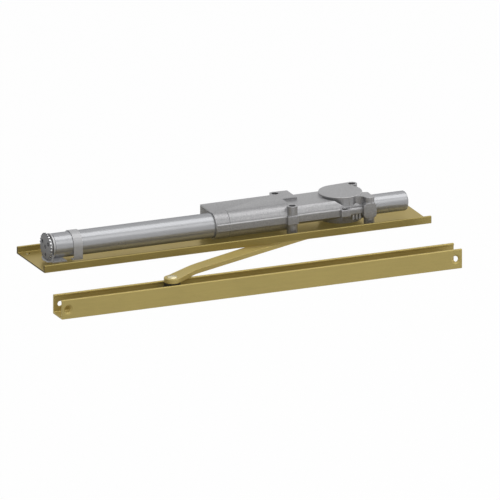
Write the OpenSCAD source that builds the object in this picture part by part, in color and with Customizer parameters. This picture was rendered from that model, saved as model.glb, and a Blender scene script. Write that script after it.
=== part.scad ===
// Concealed overhead door closer: rack-and-pinion body on its cover plate, with a single
// lever arm whose roller runs in a channel track. Millimetres. The origin is the centre of
// the cover plate's underside, +X runs along the body to its spindle end, +Z is up.

/* [Cover plate] */
// Length of the cover plate
plate_l = 528; // [520:1:600]
// Width of the cover plate over its turned-up edges
plate_w = 88.9; // [84:0.1:100]
// Thickness of the plate's floor
plate_t = 2; // [1.5:0.1:3]
// Height of the turned-up edges above the plate's underside
plate_edge_h = 9.8; // [6:0.1:14]
// Thickness of the turned-up edges
plate_edge_t = 3; // [1.5:0.1:4]
// Diameter of the four cover screw holes
plate_hole_d = 6.8; // [4:0.1:9]
// Distance of a cover screw hole from the plate's end
plate_hole_end = 10.5; // [8:0.1:16]
// Distance of a cover screw hole from the plate's side
plate_hole_side = 10; // [9:0.1:16]

/* [Body layout] */
// Height of the body's base plane over the plate's floor
frame_gap = 5; // [4:0.1:8]
// Height of the body from its base plane to its flat top
body_h = 34.3; // [33:0.1:42]
// Distance of the spindle's axis from the middle of the cover plate, along X
spindle_x = 160.1; // [150:0.1:170]
// Distance of the spindle's axis from the middle of the cover plate, along Y
spindle_y = 4.55; // [2:0.05:7]
// Distance from the piston's axis to the spindle's axis
spindle_offset = 16.4; // [16:0.1:17.5]
// Length of the casting to the left of the spindle
casting_left = 183.3; // [165:0.1:200]
// Length of the casting to the right of the spindle
casting_right = 30.9; // [29:0.1:36]
// Width of the casting behind the piston's axis
casting_back = 35; // [31:0.1:38]
// Wall of the casting round its hollow end
casting_wall = 2.4; // [2:0.1:3.5]
// How far the top of the casting's right half lies under its flat top
top_step = 3; // [1.5:0.1:4]
// Height of the flat rail along the casting's front
rail_h = 9.5; // [7:0.1:12]
// How far the rail stands out from the casting's round front
rail_out = 0.9; // [0.5:0.1:2]
// Radius of the round boss over the spindle
boss_r = 27.45; // [26:0.05:28.5]
// How far the hollow in front of the spindle boss is set forwards
boss_hollow = 6.5; // [4:0.1:8]

/* [Fixing columns] */
// Diameter of a fixing column
column_d = 13.6; // [12.6:0.1:15]
// Diameter of the screw hole in a fixing column
column_hole_d = 9; // [5:0.1:9.5]
// Distance between the columns along the body
column_pitch_x = 104.8; // [102:0.1:108]
// Distance between the front and rear columns
column_pitch_y = 55.3; // [54.6:0.1:56]
// Distance from the spindle to the left-hand columns, along X
column_left = 79.2; // [77:0.1:82]
// Diameter of the hole in the front lug
lug_hole_d = 7.2; // [4:0.1:8]

/* [Spring tube] */
// Outside diameter of the spring tube
tube_d = 31.75; // [30:0.05:32]
// Wall of the spring tube
tube_wall = 1.65; // [1.2:0.05:2]
// Length of the spring tube to the left of the casting
tube_out = 218; // [200:0.1:230]
// Length of the spring tube inside the casting
tube_in = 85; // [75:0.1:92]
// Diameter of the small tube at the right-hand end
end_tube_d = 25.2; // [24.6:0.1:26]
// Length of the small tube outside the casting
end_tube_out = 50.3; // [44:0.1:56]

/* [Adjuster] */
// Diameter of the adjuster cap
cap_d = 35.4; // [34.6:0.1:38]
// Thickness of the adjuster cap
cap_t = 2; // [1.5:0.1:3]
// Clear space between the adjuster cap and the bush's flange
cap_gap = 3.2; // [2.6:0.1:4]
// Depth of the notches in the cap's rim
cap_notch = 1.7; // [0.6:0.1:2.2]
// Number of notches in the cap's rim
cap_notches = 25; // [20:1:32]
// Diameter of the three spanner holes
spanner_hole_d = 5; // [3:0.1:5.4]
// Distance of a spanner hole from the cap's centre
spanner_hole_r = 10.4; // [8:0.1:13]
// Size across the flats of the adjusting nut
nut_af = 13; // [11:0.1:14]
// Length of the adjusting nut
nut_l = 8; // [6:0.1:10]

/* [Piston and spindle] */
// Radius of the piston
piston_r = 9.9; // [9.7:0.05:10.1]
// Length of the piston to the left of the spindle, at rest
piston_left = 58; // [50:0.1:64]
// Length of the piston to the right of the spindle, at rest
piston_right = 38; // [34:0.1:44]
// Diameter of the rod that pulls the spring
rod_d = 8; // [6:0.1:9]
// Module of the rack and pinion teeth
gear_module = 1.75; // [1.7:0.01:1.78]
// Number of teeth on the pinion
gear_teeth = 12; // [12:1:12]
// Pressure angle of the teeth, in degrees
gear_angle = 25; // [23:0.5:26]
// Height of the pinion
pinion_h = 15; // [12:0.1:16]
// Diameter of the spindle where it passes the plate
spindle_d = 17; // [15:0.1:18]
// Width of the spindle's square end
spindle_sq = 11; // [10:0.1:11.8]

/* [Springs and seals] */
// Diameter of the spring wire
wire_d = 3.4; // [2.5:0.1:3.8]
// Number of turns of the main spring
spring_turns = 24; // [18:1:28]
// Thickness of a sealing ring
seal_t = 2.2; // [1.6:0.1:3]

/* [Arm] */
// Length of the arm from the spindle to the roller
arm_l = 304.05; // [290:0.05:320]
// Thickness of the arm
arm_t = 6; // [5:0.1:6.4]
// Clear space between the cover plate and the arm
arm_gap = 2.5; // [1.5:0.1:3.5]
// Angle of the arm to the plate at rest, in degrees
arm_angle = 23.05; // [15:0.05:30]
// Sideways set of the arm's middle stretch
arm_set = 11.4; // [5:0.1:14]
// Width of the arm's wide stretch, near the spindle
arm_root_w = 20; // [17:0.1:24]
// Width of the arm's narrow stretch, before its last bend
arm_w = 16.4; // [14:0.1:20]
// Radius of the arm's hub
hub_r = 15.5; // [14:0.1:18]
// Radius of the arm's round end
arm_end_r = 10.5; // [9:0.1:12]

/* [Roller and track] */
// Radius of the roller
roller_r = 11.7; // [11:0.1:12.4]
// Height of the roller's rim
roller_h = 14; // [10:0.1:15]
// Diameter of the roller's stud
stud_d = 8; // [6:0.1:9]
// Length of the track
track_l = 545.2; // [500:0.1:600]
// Height of the track
track_h = 25.4; // [24:0.1:28]
// Thickness of the track's walls
track_wall = 2.6; // [2:0.1:4]
// Clear space between the arm's underside and the track
track_gap = 1.1; // [0.6:0.1:3]
// How far the track's lips reach inwards
lip_in = 0.9; // [0.6:0.1:1.5]
// Height of the track's lips
lip_h = 2.6; // [1.5:0.1:3.5]
// Distance from the track's left end to the roller at rest
track_left = 156.2; // [140:0.1:170]
// Diameter of the track's screw holes
track_hole_d = 6.8; // [5:0.1:8]
// Diameter of the countersinks in the track's front wall
track_sink_d = 12.7; // [10:0.1:14]
// Distance of a track screw hole from the track's end
track_hole_end = 8.7; // [8:0.1:14]

/* [Fits] */
// Radial clearance of a shaft that turns or slides in its bore
run_fit = 0.05; // [0.03:0.01:0.09]
// Radial clearance of pieces that are fixed in each other
seat_fit = 0.03; // [0.02:0.01:0.08]
// Clearance between pieces that pass each other
pass_gap = 0.4; // [0.3:0.05:0.6]
// Backlash of the rack and pinion
backlash = 0.14; // [0.1:0.01:0.2]

/* [Hidden] */
$fn = 64;
eps = 0.01;

// Levels
base_z = plate_t + frame_gap;
top_z = base_z + body_h;
low_top_z = top_z - top_step;
axis_h = 16.7;
axis_z = base_z + axis_h;
axis_y = spindle_y - spindle_offset;

// The casting
body_r = top_z - axis_z + 0.15;
body_bottom = 2 * axis_z - top_z;
casting_x0 = spindle_x - casting_left;
casting_x1 = spindle_x + casting_right;
back_y = axis_y + casting_back;
rail_y = axis_y - body_r - rail_out + 0.15;
flange_top = axis_z + rail_h / 2;
flange_bottom = axis_z - rail_h / 2;
band_w = 18.5;
band_out = 0.6;
step_x = spindle_x - column_left;
ledge_end = step_x + 19.6;
ledge_y = axis_y + 14.9;
hollow_r = boss_r - 0.05;

// Fixing columns, from the spindle
column_x1 = spindle_x - column_left;
column_x2 = column_x1 + column_pitch_x;
column_r = column_d / 2;
neck_step = 0.6;
lug_x = spindle_x - 8;
lug_w = 13;
lug_y = axis_y - 17.7;
lug_front = lug_y - 5.05;
block_w = 17.5;
block_h = 19.2;
block_corner = 3;

// Tubes and bores
tube_r = tube_d / 2;
tube_inner_r = tube_r - tube_wall;
tube_x0 = casting_x0 - tube_out;
tube_x1 = casting_x0 + tube_in;
bore_r = piston_r + run_fit;
cylinder_r = bore_r + 2.15;
end_tube_r = end_tube_d / 2;
end_tube_x0 = casting_x1 - 8;
end_tube_x1 = casting_x1 + end_tube_out;
end_boss_r = end_tube_r + 2.6;
plug_t = 8;

// Gland between the spring tube and the cylinder
gland_flange_t = 4;
gland_x0 = tube_x1 - gland_flange_t;
gland_l = 13;
rod_r = rod_d / 2;

// Rack and pinion
pitch = PI * gear_module;
pinion_r = gear_module * gear_teeth / 2;
base_r = pinion_r * cos(gear_angle);
tip_r = pinion_r + gear_module;
root_r = pinion_r - 1.25 * gear_module;
rack_y = spindle_offset - pinion_r;
rack_root = rack_y - 1.25 * gear_module;
rack_from = -5;
rack_to = 2;
rack_room = 4.2;
chamber_r = tip_r + 0.6;
cap_ring_h = 5.8;
chamber_z0 = base_z + cap_ring_h;
chamber_z1 = axis_z + pinion_h / 2 + 0.9;

// Spindle bearings
spindle_r = spindle_d / 2;
journal_r = 7;
bearing_t = 3.5;
upper_bearing_z1 = top_z - 2.4;
upper_pocket_r = journal_r + bearing_t + 0.5;
cap_ring_r = 18;
cap_lip = 2.4;
spindle_screw_r = 4;

// Adjuster
bush_r = tube_r + 0.5;
bush_t = 2.4;
bush_hub_r = 12.5;
bush_skirt = 8;
bush_x0 = tube_x0 - bush_t;
hub_x0 = bush_x0 - cap_gap + pass_gap;
cap_x1 = bush_x0 - cap_gap;
cap_x0 = cap_x1 - cap_t;
sleeve_r = 9.5;
sleeve_hex = nut_af + 2 * pass_gap;
follower_t = 4;
follower_x = tube_x0 + 27.6;
rod_x0 = follower_x - nut_l - 1;
sleeve_x1 = follower_x - 4.8;

// Arm and roller
arm_top = -arm_gap;
arm_bottom = arm_top - arm_t;
arm_x = spindle_x - arm_l * cos(arm_angle);
arm_y = spindle_y - arm_l * sin(arm_angle);
screw_head_t = 2.6;
screw_head_r = spindle_sq * 0.7071 + 0.9;
dome_r = 6.7;
dome_h = arm_gap - pass_gap;
track_top = arm_bottom - track_gap;
track_floor = track_top - track_h + track_wall;
track_inner = 2 * (roller_r + 0.35);
track_w = track_inner + 2 * track_wall;
slot_w = track_inner - 2 * lip_in;
roller_top = track_top - lip_h - 1.2;
roller_bottom = roller_top - roller_h;
roller_hub_r = slot_w / 2 - 0.55;
stud_head_t = 1.8;

casting_color = [0.60, 0.60, 0.59];
steel_color = [0.68, 0.69, 0.70];
brass_color = [0.60, 0.54, 0.31];
dark_color = [0.12, 0.12, 0.12];
bright_color = [0.80, 0.77, 0.62];

function polar(r, a) = [r * cos(a), r * sin(a)];
function mix(a, b, t) = a + (b - a) * t;

// Stands a profile drawn in Y and Z along X, from x0 to x1
module along_x(x0, x1) {
    translate([x0, 0, 0]) rotate([90, 0, 90]) linear_extrude(x1 - x0) children();
}

// A round bar along X on the piston's axis
module bar_x(x0, x1, r) {
    translate([x0, axis_y, axis_z]) rotate([0, 90, 0]) cylinder(h = x1 - x0, r = r);
}

// A ring along X on the piston's axis
module ring_x(x0, x1, r_out, r_in) {
    difference() {
        bar_x(x0, x1, r_out);
        bar_x(x0 - 1, x1 + 1, r_in);
    }
}

// A round bar along Z
module bar_z(x, y, z0, z1, r) {
    translate([x, y, z0]) cylinder(h = z1 - z0, r = r);
}

// A ring along Z round the spindle
module ring_z(z0, z1, r_out, r_in) {
    difference() {
        bar_z(spindle_x, spindle_y, z0, z1, r_out);
        bar_z(spindle_x, spindle_y, z0 - 1, z1 + 1, r_in);
    }
}

// A block between two opposite corners
module block(a, b) {
    translate(a) cube([b[0] - a[0], b[1] - a[1], b[2] - a[2]]);
}

// Cover plate: a tray with turned-up long edges and open ends
module cover_plate() {
    half_l = plate_l / 2;
    half_w = plate_w / 2;
    color(brass_color) difference() {
        block([-half_l, -half_w, 0], [half_l, half_w, plate_edge_h]);
        block([-half_l - 1, -half_w + plate_edge_t, plate_t],
            [half_l + 1, half_w - plate_edge_t, plate_edge_h + 1]);
        for (sx = [-1, 1], sy = [-1, 1])
            bar_z(sx * (half_l - plate_hole_end), sy * (half_w - plate_hole_side),
                -1, plate_t + 1, plate_hole_d / 2);
        bar_z(spindle_x, spindle_y, -1, plate_t + 1, spindle_r + 2);
    }
}

// The casting's section: round in front, square behind, clipped flat above and below
module body_section(r, top, bottom) {
    intersection() {
        union() {
            translate([axis_y, axis_z]) circle(r = r);
            translate([axis_y, bottom]) square([back_y - axis_y, top - bottom]);
        }
        translate([axis_y - 2 * r, bottom]) square([4 * r + casting_back, top - bottom]);
    }
}

// A web from one circle to another, straight along the left side of the way between them
module web(p, rp, q, rq, z0, z1) {
    d = q - p;
    dist = norm(d);
    dir = atan2(d[1], d[0]);
    spread = acos((rp - rq) / dist);
    translate([0, 0, z0]) linear_extrude(z1 - z0) polygon([
        p + polar(rp - 0.15, dir + spread), p + polar(rp - 4, dir), q,
        q + polar(rq - 0.1, dir + spread)]);
}

// The casting before it is bored
module casting_solid() {
    // Hollow left half with its turned band
    along_x(casting_x0, casting_x0 + band_w) body_section(body_r + band_out, top_z, body_bottom);
    along_x(casting_x0 + band_w - eps, casting_x0 + band_w + 1.2)
        body_section(body_r - band_out, top_z, body_bottom);
    along_x(casting_x0 + band_w + 1.2 - eps, step_x) body_section(body_r, top_z, body_bottom);
    // Rail along the front and flange under the right half
    block([casting_x0 + 1.4, rail_y, flange_bottom], [lug_x + lug_w / 2, axis_y, flange_top]);
    along_x(lug_x, column_x2) polygon([[axis_y, flange_bottom], [rail_y + 0.6, flange_bottom + 0.5],
        [rail_y + 0.6, flange_top - 2.4], [rail_y + 2, flange_top - 0.7], [rail_y + 5, flange_top],
        [axis_y, flange_top]]);
    block([column_x1 - column_r - 1.2, lug_front, flange_bottom - 1.2],
        [column_x1 + column_r - 0.9, axis_y - 8, flange_top + 0.9]);
    // Right half, cut back to a hollow in front of the spindle boss
    difference() {
        along_x(step_x - eps, spindle_x) body_section(body_r, low_top_z, flange_bottom);
        bar_z(spindle_x, spindle_y - boss_hollow, flange_top, top_z + 1, hollow_r);
    }
    along_x(step_x - eps, spindle_x)
        body_section(cylinder_r + 0.1, axis_z + cylinder_r, axis_z - cylinder_r);
    // Raised ledge behind the step, with the rear-left lug
    block([step_x - eps, ledge_y, low_top_z - 1], [ledge_end, back_y, top_z]);
    translate([0, 0, flange_bottom]) linear_extrude(top_z - flange_bottom) polygon([
        [column_x1 - 8.8, back_y - 1], [column_x1 - 5, column_pitch_y / 2 + 5.9],
        [column_x1, column_pitch_y / 2 + column_r - 0.4],
        [ledge_end, column_pitch_y / 2 + column_r - 0.4], [ledge_end, back_y - 1]]);
    // Cylinder, spindle boss and the boss of the end tube
    bar_x(spindle_x - 1, casting_x1 - 2, cylinder_r - 0.1);
    bar_x(casting_x1 - 9, casting_x1, end_boss_r);
    bar_z(spindle_x, spindle_y, base_z, top_z, boss_r);
    // Columns
    for (p = [[column_x1, -1], [column_x1, 1], [column_x2, 1]])
        bar_z(p[0], p[1] * column_pitch_y / 2, plate_t, top_z, column_r);
    bar_z(column_x2, -column_pitch_y / 2, plate_t, top_z - neck_step, column_r);
    // Web from the spindle boss to the rear-right column
    web([spindle_x, spindle_y], boss_r, [column_x2, column_pitch_y / 2], column_r,
        base_z, top_z);
    // Neck from the spindle boss to the front-right column, with its hollow corner
    neck_fillet();
    // Front lug and the eight-sided block on the front-right column
    block([lug_x - lug_w / 2, lug_front, flange_bottom], [lug_x + lug_w / 2, axis_y - 8, flange_top]);
    front_block();
}

// Neck: a wall across the body, joined to the round boss by a hollow corner
module neck_fillet() {
    corner_r = 9;
    wall_x = column_x2 - 6.2;
    cx = wall_x - corner_r;
    reach = boss_r + corner_r - 0.15;
    cy = spindle_y - sqrt(reach * reach - (cx - spindle_x) * (cx - spindle_x));
    start = atan2(spindle_y - cy, spindle_x - cx);
    end = asin((-column_pitch_y / 2 - cy) / corner_r);
    translate([0, 0, flange_bottom]) linear_extrude(top_z - neck_step - flange_bottom)
        polygon(concat([[spindle_x + 7, cy + 14]],
            [for (i = [0:10]) [cx, cy] + polar(corner_r, mix(start, end, i / 10))],
            [[column_x2, -column_pitch_y / 2], [column_x2 + 4.8, -column_pitch_y / 2],
            [column_x2 + 5.4, axis_y + 0.6], [spindle_x + 20, axis_y + 4]]));
}

// Eight-sided block round the front-right column
module front_block() {
    w = block_w / 2;
    h = block_h / 2;
    c = block_corner;
    front = -column_pitch_y / 2 - column_r - 0.15;
    translate([column_x2 - 1, front + column_r, axis_z]) rotate([90, 0, 0])
        linear_extrude(column_r) polygon([
            [-w, -h + c], [-w + c, -h], [w - c, -h], [w, -h + c],
            [w, h - c], [w - c, h], [-w + c, h], [-w, h - c]]);
}

// Casting: carries the tubes, the cylinder, the spindle and the valves
module housing() {
    color(casting_color) difference() {
        casting_solid();
        // Socket of the spring tube and the hollow behind it
        bar_x(casting_x0 - 1, tube_x1, tube_r + seat_fit);
        block([casting_x0 - 1, axis_y, body_bottom + casting_wall],
            [tube_x1 - 3, back_y - casting_wall, top_z - casting_wall]);
        // Cylinder and the socket of the end tube
        bar_x(tube_x1 - 1, casting_x1 + 1, bore_r);
        bar_x(end_tube_x0, casting_x1 + 1, end_tube_r + seat_fit);
        // Pinion chamber, upper bearing pocket and seat of the bearing cap
        bar_z(spindle_x, spindle_y, chamber_z0 - 1, chamber_z1, chamber_r);
        bar_z(spindle_x, spindle_y, chamber_z1 - 1, upper_bearing_z1, upper_pocket_r + seat_fit);
        bar_z(spindle_x, spindle_y, base_z - 1, chamber_z0, cap_ring_r + seat_fit);
        // Screw holes of the columns and of the front lug
        for (p = [[column_x1, -1], [column_x1, 1], [column_x2, 1]])
            bar_z(p[0], p[1] * column_pitch_y / 2, plate_t - 1, top_z + 1, column_hole_d / 2);
        bar_z(lug_x, lug_y, flange_bottom - 1, flange_top + 1, lug_hole_d / 2);
        bar_z(lug_x, lug_y, flange_top, top_z + 1, lug_hole_d / 2 + 0.5);
        // Valve holes
        for (i = [0:2]) bar_z(valve_x(i), valve_y, flange_bottom - 1, valve_top, valve_r + run_fit);
    }
}

// Spring tube: thin steel tube seated in the casting
module spring_tube() {
    color(steel_color) ring_x(tube_x0, tube_x1, tube_r, tube_inner_r);
}

// Bush in the tube's left end, the bearing of the adjuster
module tube_bush() {
    color(steel_color) difference() {
        union() {
            bar_x(bush_x0, tube_x0, bush_r);
            bar_x(hub_x0, bush_x0 + 1, bush_hub_r);
            bar_x(bush_x0, tube_x0 + bush_skirt, tube_inner_r - seat_fit);
        }
        bar_x(hub_x0 - 1, tube_x0 + bush_skirt + 1, sleeve_r + run_fit);
    }
}

// Strap: sheet metal over the tube, with a leg down each side
strap_x = tube_x0 + 24.2;
strap_w = 12.2;
strap_t = 1.4;
module tube_strap() {
    inner = tube_r + seat_fit;
    outer = inner + strap_t;
    color(steel_color) union() {
        along_x(strap_x, strap_x + strap_w) difference() {
            union() {
                translate([axis_y, axis_z]) circle(r = outer);
                translate([axis_y - outer, base_z]) square([2 * outer, axis_z - base_z]);
            }
            translate([axis_y, axis_z]) circle(r = inner);
            translate([axis_y - inner, base_z - inner]) square([2 * inner, axis_z - base_z + inner]);
        }
        for (s = [-1, 1]) {
            y0 = axis_y + s * outer;
            y1 = axis_y + s * (outer - 5.5);
            block([strap_x - 2, min(y0, y1), base_z], [strap_x + strap_w, max(y0, y1), base_z + strap_t]);
        }
    }
}

// End bracket: foot plate under the tube with an upright cradle for the bush's hub
bracket_t = 1.2;
bracket_w = 34.8;
bracket_l = 27.6;
tongue_l = 4;
module end_bracket() {
    top = axis_z - tube_r - seat_fit;
    left = cap_x0 - tongue_l;
    w = bracket_w / 2;
    upright = hub_x0 + 0.2;
    color(steel_color) difference() {
        union() {
            block([upright, axis_y - w, top - bracket_t],
                [cap_x0 - 5.2 + bracket_l, axis_y + w, top]);
            translate([0, axis_y, top - bracket_t]) linear_extrude(bracket_t) polygon([
                [upright + 1, -w + 3.7], [left + 2, -w + 4.2], [left, -1],
                [left + 3, 10], [cap_x0, w - 6], [upright + 1, w - 3.7]]);
            block([upright, axis_y - w, top - bracket_t],
                [upright + bracket_t, axis_y + w, top + 9.6]);
        }
        // Seats of the bush's hub and flange, and room for the cap that turns beside it
        bar_x(upright - 1, bush_x0, bush_hub_r + seat_fit);
        bar_x(bush_x0 - pass_gap, tube_x0 + 0.5, bush_r + seat_fit);
        bar_x(cap_x0 - pass_gap, upright, cap_d / 2 + pass_gap);
        bar_z(cap_x0 + 15.3, axis_y - w + 3.2, top - bracket_t - 1, top + 1, 1.6);
    }
}

// Small tube that closes the cylinder's right-hand end
module end_tube() {
    color(steel_color) difference() {
        union() {
            bar_x(end_tube_x0, end_tube_x1 - 1.6, end_tube_r);
            translate([end_tube_x1 - 1.6, axis_y, axis_z]) rotate([0, 90, 0])
                cylinder(h = 1.6, r1 = end_tube_r, r2 = end_tube_r - 1.4);
        }
        bar_x(end_tube_x0 - 1, end_tube_x1 + 1, bore_r);
    }
}

// Plug in the small tube's end
module end_plug() {
    color(steel_color) union() {
        bar_x(end_tube_x1 - plug_t, end_tube_x1, bore_r - seat_fit);
        translate([end_tube_x1 - eps, axis_y, axis_z]) rotate([0, 90, 0])
            cylinder(h = 1.5, r1 = piston_r - 0.8, r2 = piston_r - 1.9);
    }
}

// Gland that guides the rod and carries the fixed end of the spring
module rod_gland() {
    color(brass_color) difference() {
        union() {
            bar_x(gland_x0, tube_x1, tube_inner_r - seat_fit);
            bar_x(gland_x0, tube_x1 + gland_l, bore_r - seat_fit);
        }
        bar_x(gland_x0 - 1, tube_x1 + gland_l + 1, rod_r + run_fit);
        bar_x(tube_x1 + gland_l - 2 * seal_t, tube_x1 + gland_l + 1, rod_r + 3);
    }
}

module gland_seal() {
    color(dark_color) ring_x(tube_x1 + gland_l - 2 * seal_t, tube_x1 + gland_l - seal_t,
        rod_r + 3 - seat_fit, rod_r + run_fit);
}

// Bearings of the spindle
module upper_bearing() {
    color(steel_color) ring_z(chamber_z1 + 0.3, upper_bearing_z1, upper_pocket_r, journal_r + run_fit);
}

module lower_bearing() {
    color(steel_color) ring_z(base_z + cap_lip, axis_z - pinion_h / 2 - pass_gap,
        spindle_r + bearing_t, spindle_r + run_fit);
}

// Ring that closes the pinion chamber from below
module bearing_cap() {
    color(steel_color) union() {
        ring_z(base_z, chamber_z0, cap_ring_r, spindle_r + bearing_t + seat_fit);
        ring_z(base_z, base_z + cap_lip, spindle_r + bearing_t + 1, spindle_r + 2.4 + seat_fit);
    }
}

module spindle_seal() {
    color(dark_color) ring_z(base_z + cap_lip - seal_t, base_z + cap_lip, spindle_r + 2.4,
        spindle_r + run_fit);
}

// Main spring: one unbroken coil between the gland and the follower
spring_r = tube_inner_r - 0.9 - wire_d / 2;
spring_x0 = follower_x + follower_t + 0.3;
spring_x1 = gland_x0 - 0.3;
coil_steps = 12;
coil_sides = 6;
module main_spring() {
    n = spring_turns * coil_steps;
    x0 = spring_x0 + wire_d / 2;
    x1 = spring_x1 - wire_d / 2;
    points = [for (i = [0:n], k = [0:coil_sides - 1])
        let (a = i * 360 / coil_steps, b = k * 360 / coil_sides,
            r = spring_r + wire_d / 2 * cos(b))
        [mix(x0, x1, i / n) + wire_d / 2 * sin(b), axis_y + r * cos(a), axis_z + r * sin(a)]];
    sides = [for (i = [0:n - 1], k = [0:coil_sides - 1])
        let (k2 = (k + 1) % coil_sides, p = i * coil_sides, q = p + coil_sides)
        each [[p + k, q + k, q + k2], [p + k, q + k2, p + k2]]];
    start = [[for (k = [0:coil_sides - 1]) k]];
    end = [[for (k = [coil_sides - 1:-1:0]) n * coil_sides + k]];
    color(steel_color) polyhedron(points, concat(start, sides, end), 4);
}

// Adjuster cap with a notched rim and three spanner holes
module adjuster_cap() {
    notch_w = PI * cap_d / cap_notches / 2;
    color(steel_color) difference() {
        bar_x(cap_x0, cap_x1, cap_d / 2);
        for (i = [0:cap_notches - 1])
            translate([cap_x0, axis_y, axis_z]) rotate([i * 360 / cap_notches, 0, 0])
                translate([-1, cap_d / 2 - cap_notch, -notch_w / 2])
                    cube([cap_t + 2, cap_notch + 1, notch_w]);
        for (a = [28, 148, 268])
            translate([cap_x0 - 1, axis_y + spanner_hole_r * cos(a),
                axis_z + spanner_hole_r * sin(a)])
                rotate([0, 90, 0]) cylinder(h = 1 + cap_t * 0.7, r = spanner_hole_d / 2);
        // Hexagon socket in the middle
        translate([cap_x0 - 1, axis_y, axis_z]) rotate([0, 90, 0])
            cylinder(h = 1 + cap_t / 2, r = 3, $fn = 6);
    }
}

// Sleeve that turns the nut through its hexagon bore
module adjuster_sleeve() {
    color(steel_color) difference() {
        bar_x(cap_x1, sleeve_x1, sleeve_r);
        translate([cap_x1 + 3, axis_y, axis_z]) rotate([0, 90, 0])
            cylinder(h = sleeve_x1 - cap_x1, r = sleeve_hex / sqrt(3), $fn = 6);
    }
}

// Adjusting nut on the rod, against the follower
module adjusting_nut() {
    color(steel_color) difference() {
        translate([follower_x - nut_l, axis_y, axis_z]) rotate([0, 90, 0])
            cylinder(h = nut_l - 0.3, r = nut_af / sqrt(3), $fn = 6);
        bar_x(follower_x - nut_l - 1, follower_x + 1, rod_r + run_fit);
    }
}

// Piston with its rack cut into the rear side
module piston() {
    x0 = spindle_x - piston_left;
    x1 = spindle_x + piston_right;
    thick = pitch / 2 - backlash;
    lean = tan(gear_angle);
    tooth_tip = thick / 2 - gear_module * lean;
    tooth_foot = thick / 2 + 1.25 * gear_module * lean;
    pocket_x0 = spindle_x + rack_from * pitch - pitch / 2 - rack_room;
    pocket_x1 = spindle_x + rack_to * pitch + pitch / 2 + rack_room;
    color(steel_color) difference() {
        union() {
            difference() {
                bar_x(x0, x1, piston_r);
                block([pocket_x0, axis_y + rack_root, axis_z - piston_r - 1],
                    [pocket_x1, axis_y + piston_r + 1, axis_z + piston_r + 1]);
            }
            intersection() {
                bar_x(x0, x1, piston_r);
                translate([spindle_x, axis_y, axis_z - pinion_h / 2]) linear_extrude(pinion_h)
                    polygon(concat(
                        [[rack_from * pitch - tooth_foot, rack_root - 1]],
                        [for (i = [rack_from:rack_to]) let (c = i * pitch) each [
                            [c - tooth_foot, rack_root], [c - tooth_tip, rack_y + gear_module],
                            [c + tooth_tip, rack_y + gear_module], [c + tooth_foot, rack_root]]],
                        [[rack_to * pitch + tooth_foot, rack_root - 1]]));
            }
        }
        // Socket and cross hole of the rod
        bar_x(x0 - 1, x0 + rod_seat, rod_r + seat_fit);
        bar_z(x0 + pin_in, axis_y, axis_z - piston_r - 1, axis_z + piston_r + 1, pin_r + seat_fit);
        // Grooves of the sealing rings
        for (x = [x0 + seal_in, x1 - seal_in - seal_t])
            ring_x(x, x + seal_t, piston_r + 1, piston_r - seal_t / 2);
        // Passage of the check ball, from the rack's pocket to the piston's end
        translate([0, passage_y, 0]) {
            bar_x(x1 - 9, x1 + 1, ball_r + pass_gap);
            bar_x(pocket_x1 - 1, x1, ball_r - 0.8);
        }
    }
}
rod_seat = 18;
pin_in = 11.5;
pin_r = 1.6;
seal_in = 4;
ball_r = 2.2;
passage_y = 5.4;

module piston_seals() {
    color(dark_color) for (x = [spindle_x - piston_left + seal_in,
            spindle_x + piston_right - seal_in - seal_t])
        ring_x(x, x + seal_t, piston_r, piston_r - seal_t / 2);
}

// Ball that shuts the piston's passage when the door opens
module check_ball() {
    seat = sqrt(ball_r * ball_r - (ball_r - 0.8) * (ball_r - 0.8));
    color(steel_color) translate([spindle_x + piston_right - 9 + seat, axis_y + passage_y, axis_z])
        sphere(r = ball_r);
}

// Rod from the piston through the gland to the follower
module piston_rod() {
    x1 = spindle_x - piston_left + rod_seat;
    color(steel_color) difference() {
        bar_x(rod_x0, x1, rod_r);
        bar_z(spindle_x - piston_left + pin_in, axis_y, axis_z - rod_r - 1, axis_z + rod_r + 1,
            pin_r + seat_fit);
    }
}

module rod_pin() {
    color(steel_color) bar_z(spindle_x - piston_left + pin_in, axis_y,
        axis_z - piston_r + 0.6, axis_z + piston_r - 0.6, pin_r);
}

// Follower: the washer that the rod pulls against the spring
module spring_follower() {
    color(steel_color) ring_x(follower_x, follower_x + follower_t, tube_inner_r - pass_gap,
        rod_r + seat_fit);
}

// Regulating valves: needle screws with a slotted lower end
valve_r = 1.8;
valve_y = axis_y - 14.95;
valve_top = flange_top - 2.2;
valve_bottom = flange_bottom - 6.3;
function valve_x(i) = spindle_x + 4.4 + 4.5 * i;
module valve_screw(i) {
    color(steel_color) difference() {
        union() {
            bar_z(valve_x(i), valve_y, valve_bottom, valve_top - 2.5, valve_r);
            translate([valve_x(i), valve_y, valve_top - 2.5]) cylinder(h = 2, r1 = valve_r, r2 = 0.4);
        }
        translate([valve_x(i) - valve_r - 1, valve_y - 0.25, valve_bottom - 1])
            cube([2 * valve_r + 2, 0.5, 1.9]);
    }
}
module sweep_valve() { valve_screw(0); }
module latch_valve() { valve_screw(1); }
module backcheck_valve() { valve_screw(2); }

// Outline of the pinion: involute flanks, with a gap facing the rack at rest
function involute(a) = tan(a) * 180 / PI - a;
function flank_angle(r) =
    (pitch / 2 - backlash) / (2 * pinion_r) * 180 / PI + involute(gear_angle)
    - involute(acos(min(1, base_r / r)));
flank_steps = 4;
flank = [for (i = [0:flank_steps]) mix(base_r, tip_r, i / flank_steps)];
pinion_outline = [for (k = [0:gear_teeth - 1]) let (a = -90 + (k + 0.5) * 360 / gear_teeth)
    each concat([polar(root_r, a - flank_angle(base_r))],
        [for (r = flank) polar(r, a - flank_angle(r))],
        [for (i = [flank_steps:-1:0]) polar(flank[i], a + flank_angle(flank[i]))],
        [polar(root_r, a + flank_angle(base_r))])];

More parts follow.
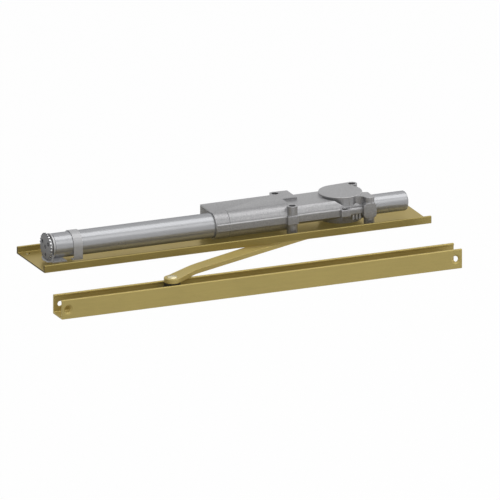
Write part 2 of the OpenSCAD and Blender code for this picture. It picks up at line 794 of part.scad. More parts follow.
// Spindle with its pinion, journals and square end
module spindle() {
    z0 = axis_z - pinion_h / 2;
    z1 = axis_z + pinion_h / 2;
    color(steel_color) difference() {
        union() {
            translate([spindle_x, spindle_y, z0]) linear_extrude(pinion_h) polygon(pinion_outline);
            bar_z(spindle_x, spindle_y, arm_top, z0, spindle_r);
            bar_z(spindle_x, spindle_y, z1 - eps, upper_bearing_z1 - pass_gap, journal_r);
            translate([spindle_x, spindle_y, 0]) rotate([0, 0, arm_angle])
                translate([-spindle_sq / 2, -spindle_sq / 2, arm_bottom + screw_head_t])
                    cube([spindle_sq, spindle_sq, arm_t - screw_head_t + eps]);
        }
        bar_z(spindle_x, spindle_y, arm_bottom, arm_bottom + 18, spindle_screw_r + seat_fit);
    }
}

// The arm's centre line and half width, as fractions of its length from the spindle.
// Each is a chain of straight stretches whose bends are softened.
arm_line = [[0, 0], [0.2, 0.83 * arm_set], [0.49, 0.9 * arm_set], [0.66, arm_set],
    [0.826, 0.94 * arm_set], [1, -0.06 * arm_set]];
arm_width = [[0, arm_root_w / 2 + 1.5], [0.2, arm_root_w / 2], [0.5, arm_root_w / 2 + 0.2],
    [0.66, arm_w / 2 + 0.4], [0.826, arm_w / 2], [1, arm_end_r - 0.3]];
soft = 0.035;
function softened(table, f) =
    (lookup(f - soft, table) + 2 * lookup(f - soft / 2, table) + 2 * lookup(f, table)
    + 2 * lookup(f + soft / 2, table) + lookup(f + soft, table)) / 8;
arm_steps = 44;
arc_steps = 12;
function round_half(x, centre, r) =
    abs(x - centre) < r ? sqrt(r * r - (x - centre) * (x - centre)) : 0;
function arm_reach(x) = max(round_half(x, 0, hub_r), round_half(x, arm_l, arm_end_r));
function arm_far(x) = x < 0 || x > arm_l ? arm_reach(x)
    : max(arm_reach(x), softened(arm_line, x / arm_l) + softened(arm_width, x / arm_l));
function arm_near(x) = x < 0 || x > arm_l ? -arm_reach(x)
    : min(-arm_reach(x), softened(arm_line, x / arm_l) - softened(arm_width, x / arm_l));
arm_x_list = concat(
    [for (i = [1:arc_steps]) -hub_r * cos(i * 90 / arc_steps)],
    [for (i = [1:arm_steps - 1]) mix(0, arm_l - arm_end_r, i / arm_steps)],
    [for (i = [0:arc_steps]) arm_l - arm_end_r * cos(i * 90 / arc_steps)],
    [for (i = [1:arc_steps - 1]) arm_l + arm_end_r * sin(i * 90 / arc_steps)]);
arm_last = len(arm_x_list) - 1;
arm_outline = concat([[-hub_r, 0]], [for (x = arm_x_list) [x, arm_far(x)]],
    [[arm_l + arm_end_r, 0]], [for (i = [arm_last:-1:0]) [arm_x_list[i], arm_near(arm_x_list[i])]]);

// Arm: flat forging with a round hub, set sideways over its middle stretch
module arm() {
    color(brass_color) difference() {
        translate([spindle_x, spindle_y, arm_bottom]) rotate([0, 0, 180 + arm_angle])
            mirror([0, 1, 0]) linear_extrude(arm_t) polygon(arm_outline);
        // Square hole of the spindle, recess of its screw and hole of the stud
        translate([spindle_x, spindle_y, arm_bottom - 1]) rotate([0, 0, arm_angle])
            translate([-spindle_sq / 2 - seat_fit, -spindle_sq / 2 - seat_fit, 0])
                cube([spindle_sq + 2 * seat_fit, spindle_sq + 2 * seat_fit, arm_t + 2]);
        bar_z(spindle_x, spindle_y, arm_bottom - 1, arm_bottom + screw_head_t,
            screw_head_r + seat_fit);
        bar_z(arm_x, arm_y, arm_bottom - 1, arm_top + 1, stud_d / 2 + seat_fit);
    }
}

// Screw that holds the arm on the spindle, flush with the arm
module arm_screw() {
    color(steel_color) difference() {
        union() {
            bar_z(spindle_x, spindle_y, arm_bottom, arm_bottom + screw_head_t, screw_head_r);
            bar_z(spindle_x, spindle_y, arm_bottom + screw_head_t - eps, arm_bottom + 17,
                spindle_screw_r);
        }
        translate([spindle_x, spindle_y, arm_bottom - 1]) cylinder(h = 4, r = 2.9, $fn = 6);
    }
}

// Stud riveted in the arm's end, with a domed head above and a flat head below
module roller_stud() {
    r = (dome_r * dome_r + dome_h * dome_h) / (2 * dome_h);
    color(bright_color) union() {
        intersection() {
            translate([arm_x, arm_y, arm_top + dome_h - r]) sphere(r = r);
            bar_z(arm_x, arm_y, arm_top, arm_top + dome_h + 1, dome_r + 1);
        }
        bar_z(arm_x, arm_y, roller_bottom - 0.3 - stud_head_t, arm_top + eps, stud_d / 2);
        bar_z(arm_x, arm_y, roller_bottom - 0.3 - stud_head_t, roller_bottom - 0.3,
            stud_d / 2 + 2.2);
    }
}

// Roller: moulded wheel in the track with a hub that fills the slot
module roller() {
    rim = 1;
    color(dark_color) difference() {
        union() {
            bar_z(arm_x, arm_y, roller_bottom + rim, roller_top - rim, roller_r);
            translate([arm_x, arm_y, roller_top - rim])
                cylinder(h = rim, r1 = roller_r, r2 = roller_r - rim);
            translate([arm_x, arm_y, roller_bottom])
                cylinder(h = rim, r1 = roller_r - rim, r2 = roller_r);
            bar_z(arm_x, arm_y, roller_top - eps, arm_bottom - 0.3, roller_hub_r);
        }
        bar_z(arm_x, arm_y, roller_bottom - 1, arm_bottom, stud_d / 2 + run_fit);
    }
}

// Track: channel with inturned lips, open along its top and at its ends
module track_section() {
    w = track_w / 2;
    i = track_inner / 2;
    s = slot_w / 2;
    bottom = track_top - track_h;
    edge = 0.8;
    half = [[w - edge, bottom], [w, bottom + edge], [w, track_top - edge],
        [w - edge, track_top], [s + edge, track_top], [s, track_top - edge],
        [s, track_top - lip_h], [i, track_top - lip_h - lip_in * 0.6], [i, track_floor + edge],
        [i - edge, track_floor]];
    n = len(half) - 1;
    polygon(concat(half, [for (k = [n:-1:0]) [-half[k][0], half[k][1]]]));
}
module track() {
    x0 = arm_x - track_left;
    mid_z = track_top - track_h / 2;
    sink = (track_sink_d - track_hole_d) / 2;
    color(brass_color) difference() {
        translate([0, arm_y, 0]) along_x(x0, x0 + track_l) track_section();
        for (x = [x0 + track_hole_end, x0 + track_l - track_hole_end])
            translate([x, arm_y - track_w / 2 - 1, mid_z]) rotate([-90, 0, 0]) {
                cylinder(h = track_w + 2, r = track_hole_d / 2);
                cylinder(h = 1 + sink, r1 = track_sink_d / 2 + 1, r2 = track_hole_d / 2);
            }
    }
}

cover_plate();
housing();
spring_tube();
tube_bush();
tube_strap();
end_bracket();
end_tube();
end_plug();
rod_gland();
gland_seal();
upper_bearing();
lower_bearing();
bearing_cap();
spindle_seal();
main_spring();
adjuster_cap();
adjuster_sleeve();
adjusting_nut();
piston();
piston_seals();
piston_rod();
rod_pin();
spring_follower();
check_ball();
sweep_valve();
latch_valve();
backcheck_valve();
spindle();
arm();
arm_screw();
roller_stud();
roller();
track();
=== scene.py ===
# Concealed door closer with its lever arm and track, dressed for rendering. Meshes are in
# metres, and the lengths that the helpers take are in mm.
import math

import bmesh
import bpy
import numpy as np
from mathutils import Matrix, Vector


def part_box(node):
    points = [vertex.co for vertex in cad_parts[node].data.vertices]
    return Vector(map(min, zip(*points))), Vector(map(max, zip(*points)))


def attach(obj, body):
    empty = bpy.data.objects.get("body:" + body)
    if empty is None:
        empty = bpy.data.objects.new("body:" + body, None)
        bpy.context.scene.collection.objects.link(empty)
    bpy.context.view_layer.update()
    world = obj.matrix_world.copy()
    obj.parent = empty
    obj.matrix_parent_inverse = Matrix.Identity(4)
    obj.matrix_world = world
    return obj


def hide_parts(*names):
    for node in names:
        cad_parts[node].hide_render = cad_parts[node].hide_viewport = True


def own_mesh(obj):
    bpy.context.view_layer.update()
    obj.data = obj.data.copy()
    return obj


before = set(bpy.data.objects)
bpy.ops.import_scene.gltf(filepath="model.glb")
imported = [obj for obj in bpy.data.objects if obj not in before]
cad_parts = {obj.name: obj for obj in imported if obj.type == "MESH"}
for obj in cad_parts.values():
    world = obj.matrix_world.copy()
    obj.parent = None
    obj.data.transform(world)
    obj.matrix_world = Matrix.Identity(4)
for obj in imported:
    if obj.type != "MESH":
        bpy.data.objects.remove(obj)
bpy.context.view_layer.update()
scene = bpy.context.scene

# Cover plate
# A steel tray with turned-up long edges, painted in satin gold enamel. It closes the
# pocket in the door frame, and four corner screws pull it up against the frame. Its two
# short end faces are coloured a dark brown as painted shade.


def add_node(tree, kind, inputs=None, **settings):
    """A new shader node. Each input takes a value, or is linked to another node's output."""
    node = tree.nodes.new("ShaderNode" + kind)
    for key, value in settings.items():
        setattr(node, key, value)
    for key, value in (inputs or {}).items():
        if isinstance(value, bpy.types.NodeSocket):
            tree.links.new(value, node.inputs[key])
        else:
            node.inputs[key].default_value = value
    return node


def add_range(tree, value, source, target):
    """The output of a node that carries value from the range source to the range target."""
    return add_node(tree, "MapRange", {
        "Value": value, "From Min": source[0], "From Max": source[1],
        "To Min": target[0], "To Max": target[1]}).outputs["Result"]


def add_math(tree, operation, first, second):
    """The output of a node that applies an operation, such as MULTIPLY, to two values."""
    return add_node(tree, "Math", {0: first, 1: second}, operation=operation).outputs["Value"]


def satin_skin(name, colour, rough, metal, grain, pull=(1, 1, 1), drift=0.05, depth=0.02, fleck=0.06,
               shine=0.5, glint=(1, 1, 1), edge_rounding=0, edge_highlight=0.35, polish=0.05):
    """A finish with two scales of life: a fine noise of scale grain, drawn out by pull, tints
    the colour by plus or minus fleck and lifts the surface by depth, and a slow cloud some
    60 mm across tints it by plus or minus drift and shifts the roughness by polish. Edges
    catch the light as if rounded to the radius edge_rounding, and where that turns the surface
    its colour is lightened by up to edge_highlight, a painted highlight on hollow edges as on
    outer ones. Shine and glint are the level and the tint of the reflection that a coat of
    paint or oil gives."""
    mat = bpy.data.materials.new(name)
    mat.use_nodes = True
    tree = mat.node_tree
    place = add_node(tree, "TexCoord").outputs["Object"]
    drawn = add_node(tree, "Mapping", {"Vector": place, "Scale": pull}).outputs["Vector"]
    fine = add_node(tree, "TexNoise", {
        "Vector": drawn, "Scale": grain, "Detail": 5, "Roughness": 0.65}).outputs["Fac"]
    slow = add_node(tree, "TexNoise", {"Vector": place, "Scale": 16, "Detail": 2}).outputs["Fac"]
    tone = add_math(tree, "MULTIPLY",
                    add_range(tree, fine, (0.25, 0.75), (1 - fleck, 1 + fleck)),
                    add_range(tree, slow, (0.25, 0.75), (1 - drift, 1 + drift)))
    lift = add_node(tree, "Bump", {"Strength": 0.5, "Distance": depth / 1000, "Height": fine})
    if edge_rounding:
        rounded = add_node(tree, "Bevel", {"Radius": edge_rounding / 1000}, samples=8).outputs["Normal"]
        plain = add_node(tree, "NewGeometry").outputs["Normal"]
        turn = add_node(tree, "VectorMath", {0: rounded, 1: plain}, operation="DOT_PRODUCT")
        # Painted highlight: the colour is lightened wherever the rounded normal turns from the true one.
        edge = add_range(tree, turn.outputs["Value"], (0.995, 0.9), (1, 1 + edge_highlight))
        tone = add_math(tree, "MULTIPLY", tone, edge)
        tree.links.new(rounded, lift.inputs["Normal"])
    tint = add_node(tree, "VectorMath", {0: colour, "Scale": tone}, operation="SCALE")
    shader = tree.nodes["Principled BSDF"]
    shader.inputs["Metallic"].default_value = metal
    shader.inputs["Specular IOR Level"].default_value = shine
    shader.inputs["Specular Tint"].default_value = (*glint, 1)
    tree.links.new(tint.outputs["Vector"], shader.inputs["Base Color"])
    gloss = add_range(tree, slow, (0.3, 0.7), (rough - polish, rough + polish))
    tree.links.new(gloss, shader.inputs["Roughness"])
    tree.links.new(lift.outputs["Normal"], shader.inputs["Normal"])
    return mat


def eased_copy(node, body, mat, edge, sharp=30, segments=2, shortest=0):
    """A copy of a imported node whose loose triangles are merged, and whose flat neighbours
    become one face again. Edges that turn by more than sharp degrees and are longer than
    shortest are rounded by a bevel as wide as edge, or as 0.4 of the narrower face beside
    them, which is its area over the length."""
    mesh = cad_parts[node].data.copy()
    mesh.name = node + "_dressed"
    shape = bmesh.new()
    shape.from_mesh(mesh)
    bmesh.ops.remove_doubles(shape, verts=shape.verts, dist=2e-6)
    bmesh.ops.dissolve_limit(
        shape, angle_limit=math.radians(0.6), verts=shape.verts, edges=shape.edges)
    weight = shape.edges.layers.float.new("bevel_weight_edge")
    for rim in shape.edges:
        run = rim.calc_length() * 1000
        if run > shortest and len(rim.link_faces) == 2 and rim.calc_face_angle(0) > math.radians(sharp):
            room = min(face.calc_area() for face in rim.link_faces) * 1e6 / run
            rim[weight] = max(0.05, min(1, 0.4 * room / edge))
    shape.to_mesh(mesh)
    shape.free()
    mesh.materials.clear()
    mesh.materials.append(mat)
    if "custom_normal" in mesh.attributes:
        mesh.attributes.remove(mesh.attributes["custom_normal"])
    mesh.shade_smooth()
    mesh.set_sharp_from_angle(angle=math.radians(sharp))
    piece = bpy.data.objects.new(node + "_dressed", mesh)
    scene.collection.objects.link(piece)
    round_off = piece.modifiers.new("eased edges", "BEVEL")
    round_off.width = edge / 1000
    round_off.segments = segments
    round_off.limit_method = "WEIGHT"
    round_off.use_clamp_overlap = False
    round_off.harden_normals = True
    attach(piece, body)
    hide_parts(node)
    return piece


def second_skin(piece, mat, wanted):
    """The faces of a piece that the test wanted picks, by centre and normal, take one more
    material."""
    piece.data.materials.append(mat)
    extra = len(piece.data.materials) - 1
    for face in piece.data.polygons:
        if wanted(face.center * 1000, face.normal):
            face.material_index = extra


gold_glint = (1, 0.84, 0.5)
# The plate's edges take a painted highlight.
gold_plate = satin_skin("gold_enamel_plate", (0.345, 0.273, 0.095), 0.34, 0.45, 900, fleck=0.05,
                        shine=0.3, glint=gold_glint, edge_rounding=0.7, edge_highlight=0.2)
plate = eased_copy("cover_plate", "closer", gold_plate, 0.9, segments=3, shortest=1)
# Painted shade: the plate's left and right end faces are coloured a near-black brown.
plate_end_shade = satin_skin("plate_end_painted_shade", (0.075, 0.055, 0.016), 0.5, 0.3, 900, fleck=0.15, shine=0.2)
second_skin(plate, plate_end_shade, lambda centre, way: abs(way.x) > 0.9)

# Casting
# One iron casting, painted grey after machining, with a painted highlight along its edges. It
# holds the spring tube in its hollow left half and the cylinder and pinion in its right half.
# The hollow's rear wall and ceiling, seen through the open left end, are coloured pale as
# painted light in the hollow's shade.
spindle_axis = (160.1, 4.55, 0)
cast_grey = satin_skin("cast_grey_paint", (0.29, 0.288, 0.293), 0.32, 0.55, 600,
                       drift=0.06, depth=0.12, fleck=0.3, polish=0.01, edge_rounding=0.9)
casting = eased_copy("housing", "closer", cast_grey, 0.9, sharp=32, shortest=12)


hollow_end_x, hollow_front_y, hollow_low_z, hollow_high_z = 60, 5, 20, 35


def shaded_hollow_faces(centre, way):
    """The hollow's rear wall, which faces the front, and its ceiling, which faces down."""
    rear_wall = way.y < -0.9 and centre.y > hollow_front_y and centre.z > hollow_low_z
    ceiling = way.z < -0.9 and centre.z > hollow_high_z
    return centre.x < hollow_end_x and (rear_wall or ceiling)


# Painted light: the hollow's rear wall and ceiling are coloured a pale grey, far lighter than the casting's
# paint, standing in for light in the hollow's shade.
hollow_painted_light = satin_skin("casting_hollow_painted_light", (0.62, 0.62, 0.62), 0.6, 0.0, 600,
                       drift=0.06, depth=0.05, fleck=0.15)
second_skin(casting, hollow_painted_light, shaded_hollow_faces)


def built_piece(name, points, faces, body, mat, nodes=(), sharp=40):
    """A closed mesh of points in mm and faces by the points' numbers. Points that meet are
    merged, faces look outwards, and edges that turn by less than sharp degrees are smooth.
    It rides the body, takes the slot and stands for the nodes."""
    mesh = bpy.data.meshes.new(name)
    mesh.from_pydata((points.reshape(-1, 3) / 1000).tolist(), [], faces)
    shape = bmesh.new()
    shape.from_mesh(mesh)
    bmesh.ops.remove_doubles(shape, verts=shape.verts, dist=1e-6)
    bmesh.ops.dissolve_degenerate(shape, edges=shape.edges, dist=1e-7)
    bmesh.ops.recalc_face_normals(shape, faces=shape.faces)
    shape.to_mesh(mesh)
    shape.free()
    mesh.materials.append(mat)
    mesh.shade_smooth()
    mesh.set_sharp_from_angle(angle=math.radians(sharp))
    piece = bpy.data.objects.new(name, mesh)
    scene.collection.objects.link(piece)
    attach(piece, body)
    if nodes:
        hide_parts(*nodes)
    return piece


def straight_bead(name, profile, x0, x1, body, mat):
    """A bar of one section: each point (y, z) of a closed profile runs straight from x0 to x1,
    and the two ends are flat faces."""
    y, z = np.array(profile, float).T
    x = np.array((x0, x1))[:, None]
    points = np.stack(np.broadcast_arrays(x, y, z), axis=-1)
    n = len(y)
    k = np.arange(n)
    sides = np.stack((k, (k + 1) % n, n + (k + 1) % n, n + k), axis=-1)
    ends = [k[::-1].tolist(), (k + n).tolist()]
    return built_piece(name, points, sides.tolist() + ends, body, mat)


def turned_piece(name, outline, centre, axis, body, mat, nodes=(), steps=96):
    """A lathe shape: each point (t, r) of a closed outline sweeps a circle of radius r round
    the axis, at t along it. The point at angle a is t along, r cos a across, r sin a up."""
    t, r = np.array(outline, float).T
    n = len(t)
    a = np.linspace(0, 2 * math.pi, steps, endpoint=False)
    along = np.broadcast_to(t, (steps, n))
    across, up = np.cos(a)[:, None] * r, np.sin(a)[:, None] * r
    points = np.stack((along, across, up) if axis == "x" else (across, up, along), axis=-1) + centre
    i, k = np.meshgrid(np.arange(steps), np.arange(n), indexing="ij")
    i2, k2 = (i + 1) % steps, (k + 1) % n
    quads = np.stack((i * n + k, i * n + k2, i2 * n + k2, i2 * n + k), axis=-1).reshape(-1, 4)
    return built_piece(name, points, quads.tolist(), body, mat, nodes)


# Painted highlight: the rounded beads along the rail's front edge and round the boss's rim are coloured far
# paler than the casting's grey, to show a bright line there.
cast_edge_highlight = satin_skin("casting_edge_painted_highlight", (0.47, 0.466, 0.468), 0.34, 0.4, 1400,
                       drift=0.06, depth=0.04)
rail_front, rail_top, rail_x0, rail_x1 = -30.3, 28.45, -21.8, 145.6
bead_r, bead_low, bead_back = 1.4, rail_top - 1.05, rail_front + 2.2
rail_edge = [(rail_front - 0.08 + bead_r + bead_r * math.cos(a), bead_low + bead_r * math.sin(a))
             for a in np.linspace(math.pi, math.pi / 2, 9)]
straight_bead("rail_rounded_edge", rail_edge + [(bead_back, rail_top + 0.35), (bead_back, bead_low)],
              rail_x0, rail_x1, "closer", cast_edge_highlight)
boss_top, boss_r, lip_z, lip_r = 41.28, 27.3, 39.6, 27.0
boss_edge = [(boss_top - 0.75 + 0.75 * math.sin(a), boss_r + 0.45 * math.cos(a))
             for a in np.linspace(-1.2, math.pi / 2, 9)]
turned_piece("boss_rounded_edge", [(lip_z, boss_r - 0.1)] + boss_edge + [(boss_top, lip_r), (lip_z, lip_r)],
             spindle_axis, "z", "closer", cast_edge_highlight, steps=160)

# Spring tube and end tube
# Drawn steel tubes, left bare under a thin film of oil. The long one is seated in the
# casting's hollow end, the short one in its right-hand boss. A seam parts the long one from
# its bush.


def softened(corners, radius, steps=3):
    """Rounds each corner c of a closed outline: from a on the way in to b on the way out, a
    point is (1-s)(1-s)a + 2s(1-s)c + s s b, with a and b radius from c, or 0.45 of the side."""
    c = np.array(corners, float)
    ends = []
    for way in (np.roll(c, 1, 0) - c, np.roll(c, -1, 0) - c):
        far = np.linalg.norm(way, axis=1, keepdims=True)
        ends.append(c + way / far * np.minimum(radius, 0.45 * far))
    s = np.linspace(0, 1, steps + 1)[None, :, None]
    curve = (1 - s) ** 2 * ends[0][:, None] + 2 * s * (1 - s) * c[:, None] + s**2 * ends[1][:, None]
    return curve.reshape(-1, 2)


def reach_of(node):
    """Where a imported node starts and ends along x."""
    low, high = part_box(node)
    return low[0] * 1000, high[0] * 1000


body_axis = (0, -11.85, 23.7)
drawn_steel = satin_skin("drawn_steel", (0.385, 0.389, 0.401), 0.265, 0.5, 420,
                         pull=(0.12, 1, 1), drift=0.04, depth=0, fleck=0.04, polish=0.01,
                         shine=0.2, glint=(0.3, 0.3, 0.32))
tube_x0, tube_x1 = reach_of("spring_tube")
tube_r, tube_bore = 15.875, 14.225
seam_x, seam_r = tube_x0 + 0.7, tube_r - 0.9
turned_piece(
    "spring_tube_drawn",
    softened([(tube_x0, tube_bore), (tube_x0, seam_r), (seam_x, seam_r),
              (seam_x, tube_r), (tube_x1, tube_r), (tube_x1, tube_bore)], 0.2),
    body_axis, "x", "closer", drawn_steel, ["spring_tube"], steps=128)
end_x0, end_x1 = reach_of("end_tube")
end_r, end_bore = 12.6, 9.95
turned_piece(
    "end_tube_rolled",
    softened([(end_x0, end_bore), (end_x0, end_r), (end_x1 - 1.6, end_r), (end_x1 - 0.3, end_r - 0.7),
              (end_x1, end_r - 1.6), (end_x1, end_bore)], 0.5),
    body_axis, "x", "closer", drawn_steel, ["end_tube"], steps=128)

# Plug and tube bush
# Turned steel. The plug is pressed in the short tube's end and staked, and is blacked. The
# bush is pressed in the long tube's left end and carries the adjuster.


def machined_skin(name, colour, along, rough=0.32, metal=0.85):
    """Turned steel: tool marks are bands of noise that change only along the lathe's axis."""
    pull = {"x": (1, 0.02, 0.02), "z": (0.02, 0.02, 1)}[along]
    return satin_skin(name, colour, rough, metal, 2600, pull=pull, drift=0.04, depth=0.008, fleck=0.07)


turned_x = machined_skin("turned_steel_along", (0.42, 0.42, 0.425), "x", rough=0.38, metal=0.5)
turned_z = machined_skin("turned_steel_upright", (0.45, 0.45, 0.455), "z")
dark_plug = machined_skin("blacked_steel", (0.1, 0.1, 0.104), "x", rough=0.4, metal=0.4)
plug_x0, plug_x1, plug_r = end_x1 - 8, end_x1 + 1.5, end_bore - 0.05
turned_piece(
    "end_plug_staked",
    softened([(plug_x0, 0.0), (plug_x0, plug_r), (end_x1, plug_r), (end_x1, 9.1), (plug_x1, 8.0),
              (plug_x1, 0.0)], 0.25),
    body_axis, "x", "closer", dark_plug, ["end_plug"])
hub_x0, flange_x0, skirt_x1 = reach_of("tube_bush")[0], tube_x0 - 2.4, tube_x0 + 8
hub_r, flange_r, skirt_r, hub_bore = 12.5, tube_r + 0.5, tube_bore - 0.03, 9.55
turned_piece(
    "tube_bush_turned",
    softened([(hub_x0, hub_bore), (hub_x0, hub_r), (flange_x0, hub_r), (flange_x0, flange_r),
              (tube_x0, flange_r), (tube_x0, skirt_r), (skirt_x1, skirt_r), (skirt_x1, hub_bore)], 0.3),
    body_axis, "x", "closer", turned_x, ["tube_bush"])

# Strap and end bracket
# Pressed from sheet steel. The strap clips the tube to its foot, and the bracket cradles
# the bush over the cover plate.
pressed_steel = satin_skin("pressed_steel", (0.42, 0.42, 0.428), 0.42, 0.35, 700,
                           pull=(1, 0.15, 1), drift=0.06, depth=0.015, fleck=0.06)
eased_copy("tube_strap", "closer", pressed_steel, 0.2)
eased_copy("end_bracket", "closer", pressed_steel, 0.2)

# Adjuster
# A pressed cap with a notched rim and three spanner holes, fixed on a turned sleeve. It
# turns in the bush and sets the spring's tension through the nut. Its steel is coloured near
# black as painted shade, and its rim near white as painted highlight.
# Painted shade: the cap is coloured near black, far darker than the other steel.
cap_steel_painted_shade = satin_skin("cap_steel_painted_shade", (0.16, 0.16, 0.163), 0.42, 0.2, 900,
                       drift=0.08, depth=0.02, fleck=0.08)
cap = eased_copy("adjuster_cap", "adjuster", cap_steel_painted_shade, 0.15, segments=1)
# Painted highlight: the rim's outer faces are coloured near white.
cap_rim_highlight = satin_skin("cap_rim_painted_highlight", (0.8, 0.8, 0.81), 0.25, 0.5, 900, drift=0.03, fleck=0.04)
rim_inner_r = 17.3
second_skin(cap, cap_rim_highlight, lambda centre, way: abs(way.x) < 0.3
            and math.hypot(centre.y - body_axis[1], centre.z - body_axis[2]) > rim_inner_r)

# Main spring
# Wound from oiled spring wire, its end turns closed up against the gland and the follower.
# It is pressed together as the piston pulls the rod.


def spring_coil(x0, x1, mean_r, wire, turns, per_turn=28, sides=10):
    """A round wire on a helix: at turn w the wire's centre is at x0 plus its share of the
    length, and at angle 2 pi w. The share grows slowly in the first and last turn, where the
    turns touch. The ring of the wire at angle b reaches mean_r + wire/2 cos b outwards."""
    w = np.linspace(0, turns, turns * per_turn + 1)
    closed = 1.08 * wire
    length = x1 - x0 - wire
    x = x0 + wire / 2 + np.interp(w, [0, 1, turns - 1, turns], [0, closed, length - closed, length])
    b = np.linspace(0, 2 * math.pi, sides, endpoint=False)
    r = mean_r + wire / 2 * np.cos(b)
    a = 2 * math.pi * w
    ring = np.stack((x[:, None] + wire / 2 * np.sin(b), r * np.cos(a)[:, None], r * np.sin(a)[:, None]), -1)
    last = len(w) - 1
    i, k = np.meshgrid(np.arange(last), np.arange(sides), indexing="ij")
    k2 = (k + 1) % sides
    quads = np.stack((i * sides + k, (i + 1) * sides + k, (i + 1) * sides + k2, i * sides + k2), -1)
    caps = [list(range(sides)), [last * sides + k for k in range(sides - 1, -1, -1)]]
    return ring + body_axis, quads.reshape(-1, 4).tolist() + caps


spring_r, wire_d, turns = 11.625, 3.4, 24
spring_wire = satin_skin("oiled_spring_wire", (0.12, 0.12, 0.13), 0.3, 0.8, 500, depth=0.01)
points, faces = spring_coil(*reach_of("main_spring"), spring_r, wire_d, turns)
spring = built_piece("main_spring_wound", points, faces, "closer", spring_wire,
                     ["main_spring"], sharp=50)
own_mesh(spring)

# Seals
# Moulded nitrile rings with rounded lips, in the gland, under the spindle's bearing and in
# the piston's grooves.
nitrile = satin_skin("nitrile_rubber", (0.02, 0.02, 0.021), 0.55, 0.0, 1500, depth=0.01, fleck=0.15)


def lipped_ring(t0, t1, inner_r, outer_r):
    """The outline of a ring between t0 and t1 along its axis, with its four edges rounded."""
    return softened([(t0, inner_r), (t0, outer_r), (t1, outer_r), (t1, inner_r)], 0.6)


rod_r, gland_r = 4.05, 6.97
journal_r, seal_pocket_r = 8.55, 10.9
turned_piece("gland_seal_lipped", lipped_ring(70.4, 72.6, rod_r, gland_r),
             body_axis, "x", "closer", nitrile, ["gland_seal"])
turned_piece("spindle_seal_lipped", lipped_ring(7.2, 9.4, journal_r, seal_pocket_r),
             spindle_axis, "z", "closer", nitrile, ["spindle_seal"])


def coat(mat, *nodes):
    """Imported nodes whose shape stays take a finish."""
    for node in nodes:
        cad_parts[node].data.materials[0] = mat


coat(nitrile, "piston_seals")

# Works inside the casting
# Turned and milled steel, with bronze for the gland that guides the rod. Oil keeps the steel
# of the piston and its rod dark, and the upright pieces are brighter.
bronze = satin_skin("sintered_bronze", (0.42, 0.28, 0.13), 0.4, 0.8, 1300, depth=0.02, fleck=0.12)
oiled_works = machined_skin("oiled_works_steel", (0.36, 0.36, 0.37), "x")
coat(bronze, "rod_gland")
coat(turned_z, "upper_bearing", "lower_bearing", "bearing_cap", "spindle", "arm_screw")
coat(oiled_works, "adjuster_sleeve", "adjusting_nut", "piston", "piston_rod", "rod_pin",
     "spring_follower", "check_ball")

# Regulating valves
# Three slotted needle screws of turned steel that stand out below the flange, for the speed
# of the door's sweep, its latching and its check as it opens.
needle_steel = machined_skin("needle_steel", (0.40, 0.40, 0.41), "z", rough=0.35)
coat(needle_steel, "sweep_valve", "latch_valve", "backcheck_valve")

# Arm
# A flat forging in satin gold enamel. Its hub sits on the spindle's square, its set middle
# clears the frame, and its round end carries the roller's stud.
gold_arm = satin_skin("gold_enamel_arm", (0.53, 0.42, 0.150), 0.36, 0.1, 800,
                      drift=0.05, depth=0.03, fleck=0.06, shine=0.3, glint=gold_glint)
eased_copy("arm", "arm", gold_arm, 0.6, segments=3)

# Roller and stud
# A black nylon roller turns on the stud in the arm's end, whose domed head is plated bright.
# The dome is a quarter of an ellipse, turned round the stud.
stud_axis = (-119.676, -114.496, 0)
foot_z, shank_z, dome_z = -29.5, -27.7, -2.5
foot_r, shank_r, dome_r, dome_h = 6.2, 4.0, 6.7, 2.1
stud_plate = satin_skin("stud_bright_plate", (0.62, 0.56, 0.36), 0.22, 0.8, 1200, depth=0.01, fleck=0.04)
dome = [(dome_z + dome_h * math.cos(a), dome_r * math.sin(a)) for a in np.linspace(math.pi / 2, 0, 9)]
turned_piece(
    "roller_stud_domed",
    [(foot_z, 0.0), (foot_z, foot_r), (shank_z, foot_r), (shank_z, shank_r), (dome_z, shank_r)] + dome,
    stud_axis, "z", "arm", stud_plate, ["roller_stud"], steps=64)
nylon = satin_skin("black_nylon", (0.016, 0.016, 0.016), 0.38, 0.0, 900, depth=0.015, fleck=0.12)
coat(nylon, "roller")

# Track
# An extruded channel with inturned lips, in satin gold enamel. Countersunk screws hold it
# to the door leaf near its ends, and the roller runs in it.
# The track's edges take a painted highlight.
gold_track = satin_skin("gold_enamel_track", (0.46, 0.366, 0.130), 0.40, 0.3, 500,
                        pull=(0.08, 1, 1), drift=0.04, depth=0.015, fleck=0.04, shine=0.3,
                        glint=gold_glint, edge_rounding=0.7, edge_highlight=0.2)
eased_copy("track", "track", gold_track, 0.35)

# Studio
# A pale floor well under the piece, which is clear from below, a white surround, and soft
# boxes above and in front. The picture's light has almost no shadows, so the two stronger
# boxes throw none.


def seen_directly(tree):
    """1 for rays that come straight from the camera, through glass or off a glossy surface."""
    path = add_node(tree, "LightPath").outputs
    straight = add_math(tree, "MAXIMUM", path["Is Camera Ray"], path["Is Transmission Ray"])
    return add_math(tree, "MAXIMUM", straight, path["Is Glossy Ray"])


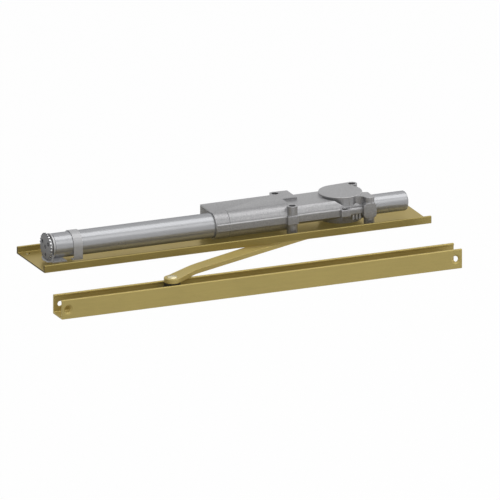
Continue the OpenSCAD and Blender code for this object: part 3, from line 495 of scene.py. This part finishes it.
reach, floor_z = 6.0, -0.30
floor_mesh = bpy.data.meshes.new("studio_floor")
floor_mesh.from_pydata(
    [(-reach, -reach, floor_z), (reach, -reach, floor_z), (reach, reach, floor_z), (-reach, reach, floor_z)],
    [], [(0, 1, 2, 3)])
floor = bpy.data.objects.new("studio_floor", floor_mesh)
scene.collection.objects.link(floor)
pale_floor = bpy.data.materials.new("pale_floor")
pale_floor.use_nodes = True
floor_tree = pale_floor.node_tree
matt = floor_tree.nodes["Principled BSDF"]
matt.inputs["Base Color"].default_value = (0.8, 0.8, 0.8, 1)
matt.inputs["Roughness"].default_value = 0.7
glow = add_node(floor_tree, "Emission")
from_above = add_node(floor_tree, "MixShader", {
    "Fac": add_math(floor_tree, "MULTIPLY", seen_directly(floor_tree), 0.98),
    1: matt.outputs["BSDF"], 2: glow.outputs["Emission"]})
one_sided = add_node(floor_tree, "MixShader", {
    "Fac": add_node(floor_tree, "NewGeometry").outputs["Backfacing"],
    1: from_above.outputs["Shader"], 2: add_node(floor_tree, "BsdfTransparent").outputs["BSDF"]})
floor_tree.links.new(one_sided.outputs["Shader"], floor_tree.nodes["Material Output"].inputs["Surface"])
floor_mesh.materials.append(pale_floor)

surround_level = 0.33
world = bpy.data.worlds.new("white_surround")
scene.world = world
world.use_nodes = True
sky = world.node_tree.nodes["Background"]
sky.inputs["Color"].default_value = (1, 1, 1, 1)
world.node_tree.links.new(
    add_range(world.node_tree, seen_directly(world.node_tree), (0, 1), (surround_level, 1)),
    sky.inputs["Strength"])

middle = Vector((0.02, -0.02, 0.0))
for name, way, far, size, watts, shades in (
    ("soft box above", (0.37, -0.14, 0.92), 2.4, (3.2, 1.6), 5, True),
    ("soft box front", (0.05, -0.78, 0.62), 3.4, (4.5, 1.4), 4, True),
    ("even light above", (0.37, -0.14, 0.92), 2.3, (3.2, 1.6), 24, False),
    ("even light front", (0.05, -0.78, 0.62), 3.3, (4.5, 1.4), 18, False),
):
    lamp = bpy.data.lights.new(name, "AREA")
    lamp.shape = "RECTANGLE"
    lamp.size, lamp.size_y = size
    lamp.energy = watts
    lamp.use_shadow = shades
    outward = Vector(way).normalized()
    along = (Vector((1, 0, 0)) - outward * outward.x).normalized()
    holder = bpy.data.objects.new(name, lamp)
    holder.location = middle + outward * far
    holder.rotation_euler = Matrix((along, outward.cross(along), outward)).transposed().to_euler()
    scene.collection.objects.link(holder)

# Camera
# It looks from the front left and a little above, without perspective, as the picture does.
# The picture is 0.627 m wide at the piece.
look_at, towards_eye = Vector((0.0353, 0.0, -0.0195)), Vector((-0.3741, -0.8765, 0.3029)).normalized()
eye = bpy.data.cameras.new("view_camera")
eye.type = "ORTHO"
eye.ortho_scale = 0.62675
eye.clip_end = 60
camera = bpy.data.objects.new("view_camera", eye)
camera.location = look_at + towards_eye * 10
camera.rotation_euler = (-towards_eye).to_track_quat("-Z", "Y").to_euler()
scene.collection.objects.link(camera)
scene.camera = camera
scene.view_settings.view_transform = "Standard"
